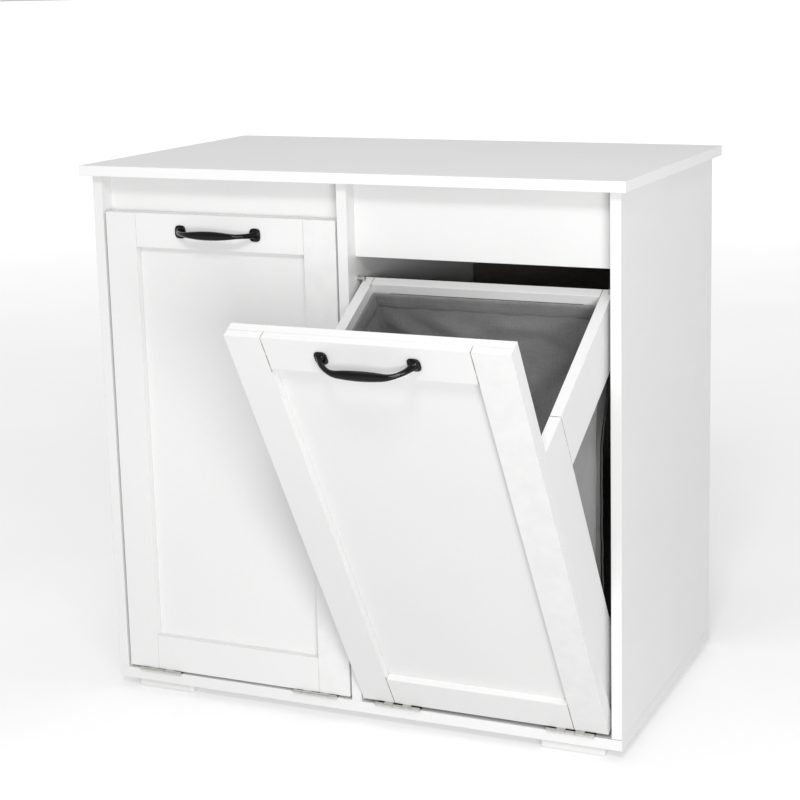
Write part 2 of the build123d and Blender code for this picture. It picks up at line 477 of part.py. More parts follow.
    # ---- moving hinge leaves on the door's lower edge
    with BuildPart(u) as door_leaves:
        for x0 in starts:
            leaf(x0, DOOR_Z0 - LEAF_T, False)
            with Locations([(x0 + dx, 18.0, DOOR_Z0) for dx in (12, HINGE_W / 2, HINGE_W - 12)]):
                Cylinder(1.5, LEAF_T, align=(Align.CENTER, Align.CENTER, Align.MAX), mode=Mode.SUBTRACT)
                Cone(3.0, 1.8, LEAF_T, align=(Align.CENTER, Align.CENTER, Align.MAX), mode=Mode.SUBTRACT)
    save(door_leaves.part, f"hinge_door_leaves_{side}")
    with BuildPart(u) as door_leaf_screws:
        with Locations([(x0 + dx, 18.0, DOOR_Z0) for x0 in starts for dx in (12, HINGE_W / 2, HINGE_W - 12)]):
            Cylinder(1.5, 13.5, align=(Align.CENTER, Align.CENTER, Align.MIN))
            Cone(2.95, 1.8, LEAF_T, align=(Align.CENTER, Align.CENTER, Align.MAX))
    save(door_leaf_screws.part, f"hinge_door_screws_{side}")

    # ---- bag and the hook tape that holds its hem to the rails
    bag_half = INNER_HALF - TAPE_T - 0.1
    profile = BAG_LEANING if degrees else BAG_STRAIGHT
    with BuildPart() as bag:
        with BuildSketch(on(u, Plane.YZ.offset(-bag_half))):
            Polygon(*profile, align=None)
        extrude(amount=2 * bag_half)
        with BuildSketch(on(u, Plane.YZ.offset(-bag_half + BAG_WALL))) as inner:
            Polygon(*profile, align=None)
            offset(amount=-BAG_WALL, kind=Kind.INTERSECTION)
        extrude(amount=2 * (bag_half - BAG_WALL), mode=Mode.SUBTRACT)
        with BuildSketch(on(u, Plane.YZ.offset(-bag_half + BAG_WALL))):
            Polygon((45.0 + BAG_WALL, BAG_TOP - 30), (340.4 - BAG_WALL, BAG_TOP - 30),
                    (340.4 - BAG_WALL, BAG_TOP + 5), (45.0 + BAG_WALL, BAG_TOP + 5), align=None)
        extrude(amount=2 * (bag_half - BAG_WALL), mode=Mode.SUBTRACT)
    save(bag.part, f"bag_{side}")
    with BuildPart(u) as hook_tape:
        z0, z1 = BAG_TOP - TAPE_H - 1, BAG_TOP - 1
        for s in (-1, 1):
            lo, hi = sorted((s * INNER_HALF, s * (INNER_HALF - TAPE_T)))
            span(lo, hi, 70, 320, z0, z1)
        span(-150, 150, DOOR_BACK + BOARD, DOOR_BACK + BOARD + TAPE_T, z0, z1)
        span(-150, 150, FRAME_BACK - BOARD - TAPE_T, FRAME_BACK - BOARD, z0, z1)
    save(hook_tape.part, f"hook_tape_{side}")
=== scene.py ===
import json
import math
import random

import bmesh
import bpy
import numpy as np
from mathutils import Matrix, Vector


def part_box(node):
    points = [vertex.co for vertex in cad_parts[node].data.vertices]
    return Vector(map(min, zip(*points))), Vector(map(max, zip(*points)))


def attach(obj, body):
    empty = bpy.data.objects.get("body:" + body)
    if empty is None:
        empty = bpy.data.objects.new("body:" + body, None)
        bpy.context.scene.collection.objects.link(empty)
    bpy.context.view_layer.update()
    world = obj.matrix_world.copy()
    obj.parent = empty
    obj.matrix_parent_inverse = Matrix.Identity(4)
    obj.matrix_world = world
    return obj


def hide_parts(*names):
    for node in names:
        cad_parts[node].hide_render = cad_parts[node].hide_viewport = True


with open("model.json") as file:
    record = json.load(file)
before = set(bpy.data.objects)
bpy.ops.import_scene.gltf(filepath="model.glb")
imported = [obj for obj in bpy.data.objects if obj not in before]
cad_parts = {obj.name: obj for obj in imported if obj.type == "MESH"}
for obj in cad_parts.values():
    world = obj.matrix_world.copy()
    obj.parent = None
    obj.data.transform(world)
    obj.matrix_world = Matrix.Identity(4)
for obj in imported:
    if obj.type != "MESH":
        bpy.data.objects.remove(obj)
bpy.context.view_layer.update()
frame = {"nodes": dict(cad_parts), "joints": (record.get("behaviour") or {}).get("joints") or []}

nodes = frame["nodes"]
MM = 0.001

# ------------------------------------------------------------------ frames
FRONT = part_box("side_panel_left")[0].y          # front edge of the carcass
joint = {j["child"]: j for j in frame["joints"]}
OPEN_DEG = {"tilt_left": -joint["tilt_left"]["range_deg"][0], "tilt_right": -joint["tilt_right"]["range_deg"][0]}


def unit_matrix(body):
    """Turns a point measured on the closed unit (x from the unit's middle, y from the
    carcass front, z from the floor, in metres) into the row frame at rest."""
    px, py, pz = joint[body]["pos_m"]
    turn = Matrix.Rotation(math.radians(OPEN_DEG[body]), 4, "X")
    pivot = Matrix.Translation((px, py, pz))
    return pivot @ turn @ Matrix.Translation((0, FRONT - py, -pz))


UNIT = {b: unit_matrix(b) for b in ("tilt_left", "tilt_right")}
SIDE = {"tilt_left": "left", "tilt_right": "right"}


# ------------------------------------------------------------------ node helpers
class Nodes:
    """Small helper that builds a material's node tree."""

    def __init__(self, name):
        self.mat = bpy.data.materials.new(name)
        self.mat.use_nodes = True
        self.t = self.mat.node_tree
        self.t.nodes.clear()
        self.out = self.t.nodes.new("ShaderNodeOutputMaterial")
        self.bsdf = self.t.nodes.new("ShaderNodeBsdfPrincipled")
        self.t.links.new(self.bsdf.outputs[0], self.out.inputs[0])

    def new(self, kind, **props):
        n = self.t.nodes.new(kind)
        for k, v in props.items():
            setattr(n, k, v)
        return n

    def link(self, a, b):
        self.t.links.new(a, b)

    def put(self, node, **values):
        for k, v in values.items():
            node.inputs[k.replace("_", " ")].default_value = v
        return node

    def coords(self, uv=False):
        if uv:
            return self.new("ShaderNodeUVMap").outputs[0]
        return self.new("ShaderNodeTexCoord").outputs["Object"]

    def mapped(self, src, scale=(1, 1, 1), loc=(0, 0, 0), rot=(0, 0, 0)):
        m = self.new("ShaderNodeMapping")
        m.inputs["Scale"].default_value = scale
        m.inputs["Location"].default_value = loc
        m.inputs["Rotation"].default_value = rot
        self.link(src, m.inputs["Vector"])
        return m.outputs[0]

    def noise(self, src, scale, detail=3.0, rough=0.5, dist=0.0):
        n = self.new("ShaderNodeTexNoise")
        n.inputs["Scale"].default_value = scale
        n.inputs["Detail"].default_value = detail
        n.inputs["Roughness"].default_value = rough
        n.inputs["Distortion"].default_value = dist
        self.link(src, n.inputs["Vector"])
        return n.outputs["Fac"]

    def math(self, op, a, b=None, clamp=False):
        n = self.new("ShaderNodeMath", operation=op, use_clamp=clamp)
        for i, v in enumerate((a, b)):
            if v is None:
                continue
            if isinstance(v, (int, float)):
                n.inputs[i].default_value = v
            else:
                self.link(v, n.inputs[i])
        return n.outputs[0]

    def ramp(self, src, stops):
        n = self.new("ShaderNodeValToRGB")
        e = n.color_ramp.elements
        while len(e) < len(stops):
            e.new(0.5)
        for el, (pos, col) in zip(e, stops):
            el.position = pos
            el.color = (*col, 1) if len(col) == 3 else col
        self.link(src, n.inputs[0])
        return n.outputs[0]

    def range(self, src, a, b, c, d):
        n = self.new("ShaderNodeMapRange")
        for i, v in enumerate((a, b, c, d)):
            n.inputs[i + 1].default_value = v
        self.link(src, n.inputs[0])
        return n.outputs[0]

    def mix(self, fac, a, b):
        n = self.new("ShaderNodeMix", data_type="RGBA")
        for sock, v in ((n.inputs[0], fac), (n.inputs[6], a), (n.inputs[7], b)):
            if isinstance(v, (int, float)):
                sock.default_value = v
            elif isinstance(v, tuple):
                sock.default_value = (*v, 1)
            else:
                self.link(v, sock)
        return n.outputs[2]

    def bump(self, height, strength, distance, normal=None):
        n = self.new("ShaderNodeBump")
        n.inputs["Strength"].default_value = strength
        n.inputs["Distance"].default_value = distance
        self.link(height, n.inputs["Height"])
        if normal is not None:
            self.link(normal, n.inputs["Normal"])
        return n.outputs[0]

    def finish(self, color=None, rough=None, normal=None):
        if color is not None:
            self.link(color, self.bsdf.inputs["Base Color"])
        if rough is not None:
            self.link(rough, self.bsdf.inputs["Roughness"])
        if normal is not None:
            self.link(normal, self.bsdf.inputs["Normal"])
        return self.mat


def white_paint(name, lo, hi, rough=(0.34, 0.46), grain=0.35):
    """Sprayed satin paint over fibreboard: fine orange peel, very slight mottling."""
    m = Nodes(name)
    c = m.coords()
    cloudy = m.noise(c, 3.2, 4, 0.55)
    speck = m.noise(c, 260.0, 3, 0.6)
    f = m.math("ADD", m.math("MULTIPLY", cloudy, 0.7), m.math("MULTIPLY", speck, 0.3))
    color = m.ramp(f, [(0.3, lo), (0.7, hi)])
    smear = m.noise(m.mapped(c, (9, 9, 30)), 1.0, 5, 0.6)
    roughness = m.range(smear, 0.3, 0.7, rough[0], rough[1])
    peel = m.noise(c, 620.0, 2, 0.45)
    waves = m.noise(c, 26.0, 2, 0.5)
    n = m.bump(waves, 0.10, 0.0006)
    n = m.bump(peel, grain, 0.00006, n)
    return m.finish(color, roughness, n)


def paint_edges(name, lo, hi, planes, body=None, rough=0.4, bareness=1.0):
    """The paint on the eased edges of a board. Beside the listed joint planes (measured on
    the closed unit) it has broken away and the bare brown fibreboard shows."""
    m = Nodes(name)
    c = m.coords()
    cloudy = m.noise(c, 40.0, 3, 0.6)
    base = m.ramp(cloudy, [(0.3, lo), (0.7, hi)])
    mask = None
    if planes:
        inv = UNIT[body].inverted()
        deg = OPEN_DEG[body]
        # object coordinates into the closed unit's own coordinates: turn, then shift
        mp = m.new("ShaderNodeMapping")
        mp.inputs["Rotation"].default_value = (-math.radians(deg), 0, 0)
        mp.inputs["Location"].default_value = tuple(inv.to_translation())
        m.link(c, mp.inputs["Vector"])
        xyz = m.new("ShaderNodeSeparateXYZ")
        m.link(mp.outputs[0], xyz.inputs[0])
        for axis, at, wide, lo_hi in planes:
            d = m.math("ABSOLUTE", m.math("SUBTRACT", m.math("ABSOLUTE", xyz.outputs[0]) if axis == 0 else xyz.outputs[axis], at))
            near = m.math("LESS_THAN", d, wide)
            for ax2, a, b in lo_hi:
                v = m.math("ABSOLUTE", xyz.outputs[0]) if ax2 == 0 else xyz.outputs[ax2]
                near = m.math("MULTIPLY", near, m.math("MULTIPLY", m.math("GREATER_THAN", v, a), m.math("LESS_THAN", v, b)))
            mask = near if mask is None else m.math("MAXIMUM", mask, near)
        worn = m.range(m.noise(c, 55.0, 4, 0.7), 0.36, 0.56, 0.25 * bareness, bareness)
        mask = m.math("MULTIPLY", mask, worn)
        fibre = m.noise(c, 900.0, 3, 0.7)
        bare = m.ramp(fibre, [(0.3, (0.16, 0.10, 0.062)), (0.7, (0.30, 0.20, 0.13))])
        base = m.mix(mask, base, bare)
    roughness = m.range(cloudy, 0.3, 0.7, rough - 0.04, rough + 0.08)
    n = m.bump(m.noise(c, 500.0, 3, 0.6), 0.35, 0.00008)
    return m.finish(base, roughness, n)


WHITE_LO, WHITE_HI = (0.770, 0.772, 0.768), (0.815, 0.817, 0.812)
paint = white_paint("satin_white_paint", WHITE_LO, WHITE_HI)
# A lighter copy of the same satin paint for the tabletop: painted light, brightening the top beyond what its lamps
# give it.
paint_top_painted_light = white_paint("satin_white_paint_painted_top_light", tuple(min(0.9, v * 1.06) for v in WHITE_LO), tuple(min(0.9, v * 1.06) for v in WHITE_HI))
paint_block = white_paint("satin_white_block_paint", (0.74, 0.742, 0.735), (0.80, 0.802, 0.795), (0.4, 0.55), 0.5)
edge_plain = paint_edges("white_paint_edge", (0.70, 0.70, 0.692), (0.79, 0.79, 0.782), [])


def hardboard():
    m = Nodes("hardboard_with_painted_shade")
    c = m.coords()
    fibres = m.noise(m.mapped(c, (60, 60, 420)), 1.0, 6, 0.7, 0.4)
    blotch = m.noise(c, 7.0, 4, 0.6)
    f = m.math("ADD", m.math("MULTIPLY", fibres, 0.6), m.math("MULTIPLY", blotch, 0.4))
    # Brown fibreboard tones kept very dark: partly the hardboard's own brown, partly painted shade standing in for the
    # dark inside of the closed cabinet.
    color = m.ramp(f, [(0.25, (0.078, 0.068, 0.058)), (0.55, (0.135, 0.118, 0.102)), (0.8, (0.20, 0.176, 0.152))])
    roughness = m.range(blotch, 0.3, 0.7, 0.5, 0.72)
    weave = m.new("ShaderNodeTexWave", wave_type="BANDS", bands_direction="X")
    m.put(weave, Scale=160.0, Distortion=1.5, Detail=2.0)
    m.link(c, weave.inputs["Vector"])
    n = m.bump(fibres, 0.35, 0.0003)
    n = m.bump(weave.outputs["Fac"], 0.12, 0.0001, n)
    return m.finish(color, roughness, n)


def beech():
    m = Nodes("beech_dowel")
    c = m.coords()
    grain = m.noise(m.mapped(c, (90, 1100, 1100)), 1.0, 5, 0.65, 0.8)
    flecks = m.noise(m.mapped(c, (500, 2600, 2600)), 1.0, 2, 0.5)
    f = m.math("ADD", m.math("MULTIPLY", grain, 0.75), m.math("MULTIPLY", flecks, 0.25))
    color = m.ramp(f, [(0.25, (0.42, 0.27, 0.14)), (0.55, (0.62, 0.44, 0.26)), (0.8, (0.72, 0.55, 0.36))])
    return m.finish(color, m.range(grain, 0.3, 0.7, 0.5, 0.7), m.bump(grain, 0.4, 0.0002))


def plated(name, lo, hi, rough, scratch=0.3, tint=None):
    """Plated steel: fine brushed scratches, faint staining, real metal reflectance."""
    m = Nodes(name)
    m.bsdf.inputs["Metallic"].default_value = 1.0
    m.bsdf.inputs["Anisotropic"].default_value = 0.25
    c = m.coords()
    lines = m.noise(m.mapped(c, (60, 2600, 2600)), 1.0, 4, 0.7)
    stain = m.noise(c, 90.0, 4, 0.65)
    color = m.ramp(m.math("ADD", m.math("MULTIPLY", lines, 0.5), m.math("MULTIPLY", stain, 0.5)), [(0.3, lo), (0.7, hi)])
    if tint:
        spots = m.range(m.noise(c, 420.0, 3, 0.6), 0.60, 0.72, 0.0, 0.55)
        color = m.mix(spots, color, tint)
    roughness = m.range(lines, 0.3, 0.7, rough[0], rough[1])
    return m.finish(color, roughness, m.bump(lines, scratch, 0.00004))


def enamel():
    """Black gloss enamel over a cast pull: soft orange peel, a few dull rubs on the grip."""
    m = Nodes("gloss_black_enamel")
    m.bsdf.inputs["Specular IOR Level"].default_value = 0.22
    c = m.coords()
    cast = m.noise(c, 320.0, 3, 0.55)
    rubs = m.noise(m.mapped(c, (30, 140, 140)), 1.0, 5, 0.7)
    color = m.ramp(rubs, [(0.3, (0.0016, 0.0016, 0.0018)), (0.75, (0.0045, 0.0045, 0.005))])
    roughness = m.range(rubs, 0.35, 0.75, 0.06, 0.14)
    n = m.bump(m.noise(c, 75.0, 2, 0.5), 0.06, 0.0005)
    n = m.bump(cast, 0.06, 0.00006, n)
    return m.finish(color, roughness, n)


def woven(name, dark, light, pitch=0.00072, rough=(0.78, 0.9), sheen=0.35, uv=True, mottling=1.0):
    """Plain-weave polyester: over-and-under threads, slubs, and a faint worn mottling."""
    m = Nodes(name)
    m.bsdf.inputs["Sheen Weight"].default_value = sheen
    m.bsdf.inputs["Sheen Roughness"].default_value = 0.45
    m.bsdf.inputs["Specular IOR Level"].default_value = 0.25
    c = m.coords(uv)
    xyz = m.new("ShaderNodeSeparateXYZ")
    m.link(c, xyz.inputs[0])
    k = math.pi / (pitch / 2)
    u = m.math("MULTIPLY", xyz.outputs[0], k)
    v = m.math("MULTIPLY", xyz.outputs[1] if uv else xyz.outputs[2], k)
    su, sv = m.math("SINE", u), m.math("SINE", v)
    over = m.math("GREATER_THAN", m.math("MULTIPLY", su, sv), 0.0)
    warp = m.math("MULTIPLY", m.math("ABSOLUTE", su), over)
    weft = m.math("MULTIPLY", m.math("ABSOLUTE", sv), m.math("SUBTRACT", 1.0, over))
    thread = m.math("ADD", warp, weft)
    slub_u = m.noise(m.mapped(c, (35, 1500, 900)), 1.0, 3, 0.6)
    slub_v = m.noise(m.mapped(c, (1500, 35, 900)), 1.0, 3, 0.6)
    cloudy = m.noise(m.mapped(c, (1, 1, 1)), 14.0, 5, 0.6)
    grain = m.noise(c, 300.0, 4, 0.72)
    f = m.math("ADD", m.math("MULTIPLY", m.math("ADD", slub_u, slub_v), 0.20),
               m.math("ADD", m.math("MULTIPLY", cloudy, 0.30 * mottling),
                      m.math("ADD", m.math("MULTIPLY", grain, 0.26), m.math("MULTIPLY", thread, 0.18))))
    color = m.ramp(f, [(0.44, dark), (0.74, light)])
    roughness = m.range(cloudy, 0.3, 0.7, rough[0], rough[1])
    n = m.bump(m.noise(c, 34.0, 3, 0.55), 0.22, 0.002)
    n = m.bump(grain, 0.35, 0.0004, n)
    n = m.bump(m.math("ADD", thread, m.math("MULTIPLY", slub_u, 0.5)), 0.55, 0.00018, n)
    return m.finish(color, roughness, n)


mat_hardboard_painted_shade = hardboard()
mat_beech = beech()
mat_hinge = plated("nickel_hinge", (0.56, 0.55, 0.53), (0.74, 0.73, 0.71), (0.22, 0.36), 0.35, (0.24, 0.20, 0.165))
mat_pin = plated("nickel_pin", (0.52, 0.50, 0.47), (0.68, 0.66, 0.62), (0.18, 0.30), 0.3)
mat_screw = plated("zinc_screw", (0.46, 0.45, 0.42), (0.62, 0.60, 0.56), (0.28, 0.42), 0.4)
mat_enamel = enamel()
FAB_D, FAB_L = (0.136, 0.1385, 0.1355), (0.282, 0.286, 0.280)
mat_fabric = woven("grey_polyester", FAB_D, FAB_L)
mat_hem = woven("grey_polyester_hem", tuple(v * 0.98 for v in FAB_D), tuple(v * 1.0 for v in FAB_L), 0.00072)
mat_thread = woven("grey_thread", (0.075, 0.078, 0.076), (0.14, 0.145, 0.14), 0.0005, uv=False)
mat_tape = woven("black_hook_tape", (0.012, 0.012, 0.013), (0.05, 0.05, 0.052), 0.0014, (0.6, 0.8), 0.2, uv=False)


# ------------------------------------------------------------------ CAD boards
def dress(o, *mats):
    o.data.materials.clear()
    for m in mats:
        o.data.materials.append(m)


def board(name, body_mat, edge_mat, ease=0.5, body=None):
    """Eased edges on a CAD board, with the edge's own paint on them. Only the board's own
    outline is eased, not the rims of its screw and dowel holes."""
    o = nodes[name]
    dress(o, body_mat, edge_mat)
    back = UNIT[body].inverted() if body else Matrix.Identity(4)
    co = np.array([tuple(back @ v.co) for v in o.data.vertices])
    lo, hi = co.min(0), co.max(0)
    at_end = np.minimum(abs(co - lo), abs(co - hi)) < 2e-5
    corners = o.vertex_groups.new(name="outline")
    corners.add([int(i) for i in np.nonzero(at_end.all(1))[0]], 1.0, "REPLACE")
    w = o.modifiers.new("weld", "WELD")
    w.merge_threshold = 0.00001
    d = o.modifiers.new("flat_faces", "DECIMATE")
    d.decimate_type = "DISSOLVE"
    d.angle_limit = math.radians(0.4)
    b = o.modifiers.new("eased_edges", "BEVEL")
    b.width = ease * MM
    b.segments = 3
    b.limit_method = "VGROUP"
    b.vertex_group = "outline"
    b.use_clamp_overlap = False
    b.material = 1
    n = o.modifiers.new("shading", "WEIGHTED_NORMAL")
    n.keep_sharp = True
    n.weight = 80


# joint planes of a unit, in metres on the closed unit: (axis, at, half width, limits)
STILE_X = 0.14375
UNIT_JOINTS = [
    (0, STILE_X, 0.0009, [(2, 0.715, 0.780)]),
    (0, STILE_X, 0.0009, [(2, 0.030, 0.099)]),
]
FRAME_JOINTS = [
    (1, 0.101, 0.0009, [(2, 0.480, 0.585)]),
    (0, 0.177, 0.0009, [(1, 0.338, 0.366), (2, 0.570, 0.585)]),
    (1, 0.026, 0.0009, []),
]
for body in UNIT:
    s = SIDE[body]
    worn_door = paint_edges(f"door_edge_{s}", (0.70, 0.70, 0.692), (0.79, 0.79, 0.782), UNIT_JOINTS, body, bareness=1.0 if s == "right" else 0.12)
    worn_frame = paint_edges(f"frame_edge_{s}", (0.70, 0.70, 0.692), (0.79, 0.79, 0.782), FRAME_JOINTS, body)
    seamed = paint_edges(f"door_side_{s}", WHITE_LO, WHITE_HI, [(1, 0.0242, 0.0011, [(2, 0.040, 0.570)])], body, bareness=1.0 if s == "right" else 0.12)
    for n in ("door_stile_left", "door_stile_right"):
        board(f"{n}_{s}", seamed if n == "door_stile_right" else paint, worn_door, 0.8, body)
    for n in ("door_rail_top", "door_rail_bottom", "door_panel"):
        board(f"{n}_{s}", paint, worn_door, 0.5, body)
    for n in ("bag_post_left", "bag_post_right", "bag_side_rail_left", "bag_side_rail_right", "bag_rear_rail", "bag_front_rail"):
        board(f"{n}_{s}", paint, worn_frame, 0.6, body)

for n in ("side_panel_left", "side_panel_right", "bottom_panel", "center_divider", "fascia_left", "fascia_right",
          "rear_stretcher_left", "rear_stretcher_right"):
    board(n, paint, edge_plain, 0.5)
# the tabletop takes the lighter copy of the paint: painted light on the top
board("tabletop", paint_top_painted_light, edge_plain, 0.9)
for n in ("foot_front_left", "foot_front_right", "foot_rear_left", "foot_rear_right"):
    dress(nodes[n], paint_block)
# The back panel: brown hardboard made darker as painted shade for the cabinet's interior.
dress(nodes["back_panel"], mat_hardboard_painted_shade)

for n, o in nodes.items():
    if "dowels" in n:
        dress(o, mat_beech)
    elif n.startswith("hinge_") and "screws" not in n:
        dress(o, mat_hinge)
    elif "screws" in n or n == "back_nails":
        dress(o, mat_screw)
    elif n == "stop_pins":
        dress(o, mat_pin)
    elif n.startswith("hook_tape"):
        dress(o, mat_tape)


# ------------------------------------------------------------------ mesh helpers
def new_mesh(name, verts, faces, mat, smooth=True, uvs=None):
    me = bpy.data.meshes.new(name)
    me.from_pydata([tuple(v) for v in verts], [], faces)
    me.validate()
    if uvs is not None:
        layer = me.uv_layers.new(name="UVMap")
        flat = np.array(uvs, float).reshape(-1)
        layer.data.foreach_set("uv", flat)
    me.materials.append(mat)
    me.polygons.foreach_set("use_smooth", [smooth] * len(me.polygons))
    o = bpy.data.objects.new(name, me)
    bpy.context.scene.collection.objects.link(o)
    return o


def sweep(rings, closed_ends=True):
    """Verts and faces of a tube through equal rings of points."""
    n = len(rings[0])
    verts = [p for r in rings for p in r]
    faces = []
    for i in range(len(rings) - 1):
        for j in range(n):
            k = (j + 1) % n
            faces.append((i * n + j, i * n + k, (i + 1) * n + k, (i + 1) * n + j))
    if closed_ends:
        faces.append(tuple(range(n - 1, -1, -1)))
        faces.append(tuple((len(rings) - 1) * n + j for j in range(n)))
    return verts, faces


# ------------------------------------------------------------------ pull handles
def smoothstep(t):
    t = max(0.0, min(1.0, t))
    return t * t * (3 - 2 * t)


def handle(body):
    """A cast bow pull: two flared, slightly dished feet, narrow curved necks and a grip
    that swells towards its middle. One continuous skin, swept along its path."""
    s = SIDE[body]
    z0 = 0.7475
    face = 0.001
    n = 56

    def ring(centre, ax, az, a, b, expo, shift=0.0):
        """A superellipse of half-sizes a along ax and b along az."""
        pts = []
        for j in range(n):
            t = 2 * math.pi * j / n
            ct, st = math.cos(t), math.sin(t)
            r = (abs(ct) ** expo + abs(st) ** expo) ** (-1 / expo)
            pts.append(centre + ax * (a * r * ct + shift) + az * (b * r * st))
        return pts

    az = Vector((0, 0, 1))
    half = []
    # (out from the face, x, lean of the path towards the grip in degrees, half width, half height, exponent)
    left_half = [
        (0.0, -64.0, 0, 8.8, 9.8, 3.2), (0.8, -64.0, 0, 9.1, 10.1, 3.2), (1.9, -64.0, 0, 9.1, 10.1, 3.2),
        (2.7, -64.0, 0, 8.75, 9.75, 3.1), (3.15, -64.0, 0, 8.1, 9.1, 3.0), (3.2, -64.0, 0, 7.5, 8.5, 3.0), (3.0, -63.9, 1, 7.0, 7.8, 2.9),
        (3.1, -63.6, 6, 6.5, 7.0, 2.8), (3.9, -63.3, 12, 5.9, 6.1, 2.6), (5.2, -62.9, 17, 5.3, 5.3, 2.4), (7.0, -62.2, 22, 4.8, 4.75, 2.2),
        (9.4, -61.1, 29, 4.35, 4.35, 2.1), (12.2, -59.3, 37, 4.0, 4.05, 2.0), (15.4, -56.7, 44, 3.7, 3.8, 2.0), (18.6, -53.4, 50, 3.5, 3.65, 2.0),
        (21.6, -49.6, 57, 3.4, 3.55, 2.0), (24.2, -45.6, 65, 3.45, 3.6, 2.0), (26.2, -41.6, 73, 3.75, 3.9, 2.0), (27.5, -37.4, 81, 4.25, 4.4, 2.05),
        (28.2, -32.8, 86, 4.7, 4.9, 2.1),
    ]
    for out, x, lean, a, b, e in left_half:
        t = math.radians(lean)
        half.append(ring(Vector((x * MM, face - out * MM, z0)), Vector((-math.cos(t), -math.sin(t), 0)), az, a * MM, b * MM, e))
    for i in range(1, 19):
        x = -32.8 * (1 - i / 18)
        t = 1 - (x / 32.8) ** 2
        half.append(ring(Vector((x * MM, face - (28.2 + 0.4 * t) * MM, z0)), Vector((0, -1, 0)), az, (4.7 + 1.4 * t) * MM, (4.9 + 1.9 * t) * MM, 2.1 + 0.1 * t))
    mirrored = []
    for r in reversed(half[:-1]):
        m = [Vector((-p.x, p.y, p.z)) for p in r]
        mirrored.append(m)
    rings = half + mirrored
    verts, faces = sweep(rings)
    verts = [UNIT[body] @ v for v in verts]
    o = new_mesh(f"pull_handle_{s}", verts, faces, mat_enamel)
    bm = bmesh.new()
    bm.from_mesh(o.data)
    bmesh.ops.recalc_face_normals(bm, faces=bm.faces)
    bm.to_mesh(o.data)
    bm.free()
    sub = o.modifiers.new("smooth", "SUBSURF")
    sub.levels = sub.render_levels = 1
    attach(o, body)
    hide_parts(f"handle_{s}")
    return o


for body in UNIT:
    handle(body)

# ------------------------------------------------------------------ bags
HALF_X = 0.1754
Y0, Y1 = 0.0450, 0.3404
TOP, BOTTOM = 0.5620, 0.0780
NX, NY, NZ = 34, 28, 48


def bag_grid():
    """The sewn bag as it is cut: four walls and a bottom, as one grid of vertices."""
    per = []
    for i in range(NX):
        per.append((-HALF_X + 2 * HALF_X * i / NX, Y0))
    for i in range(NY):
        per.append((HALF_X, Y0 + (Y1 - Y0) * i / NY))
    for i in range(NX):
        per.append((HALF_X - 2 * HALF_X * i / NX, Y1))
    for i in range(NY):
        per.append((-HALF_X, Y1 - (Y1 - Y0) * i / NY))
    n = len(per)
    verts = [(x, y, TOP + (BOTTOM - TOP) * k / NZ) for k in range(NZ + 1) for x, y in per]
    faces, uvs = [], []
    width = 2 * HALF_X * 2 + 2 * (Y1 - Y0)
    along = [0.0]
    for j in range(n):
        a, b = per[j], per[(j + 1) % n]
        along.append(along[-1] + math.hypot(b[0] - a[0], b[1] - a[1]))
    for k in range(NZ):
        va, vb = (TOP - BOTTOM) * k / NZ, (TOP - BOTTOM) * (k + 1) / NZ
        for j in range(n):
            q = (j + 1) % n
            faces.append((k * n + j, (k + 1) * n + j, (k + 1) * n + q, k * n + q))
            uvs += [(along[j], va), (along[j], vb), (along[j + 1], vb), (along[j + 1], va)]
    # bottom grid, sharing the last ring
    ring0 = NZ * n
    index = {}

    def vid(i, j):
        if j == 0:
            return ring0 + i if i < NX else ring0 + NX
        if i == NX:
            return ring0 + NX + j if j < NY else ring0 + NX + NY
        if j == NY:
            return ring0 + NX + NY + (NX - i)
        if i == 0:
            return ring0 + 2 * NX + NY + (NY - j)
        if (i, j) not in index:
            index[(i, j)] = len(verts)
            verts.append((-HALF_X + 2 * HALF_X * i / NX, Y0 + (Y1 - Y0) * j / NY, BOTTOM))
        return index[(i, j)]

    for i in range(NX):
        for j in range(NY):
            faces.append((vid(i, j), vid(i, j + 1), vid(i + 1, j + 1), vid(i + 1, j)))
            for a, b in ((i, j), (i, j + 1), (i + 1, j + 1), (i + 1, j)):
                uvs.append((2 * HALF_X * a / NX, 0.6 + (Y1 - Y0) * b / NY))
    return verts, faces, uvs, n


def collider(name, x0, x1, y0, y1, z0, z1):
    v = [(x, y, z) for x in (x0, x1) for y in (y0, y1) for z in (z0, z1)]
    f = [(0, 1, 3, 2), (4, 6, 7, 5), (0, 4, 5, 1), (2, 3, 7, 6), (0, 2, 6, 4), (1, 5, 7, 3)]
    me = bpy.data.meshes.new(name)
    me.from_pydata(v, [], f)
    o = bpy.data.objects.new(name, me)
    bpy.context.scene.collection.objects.link(o)
    c = o.modifiers.new("c", "COLLISION")
    o.collision.thickness_outer = 0.001
    o.collision.thickness_inner = 0.004
    o.collision.cloth_friction = 8
    return o


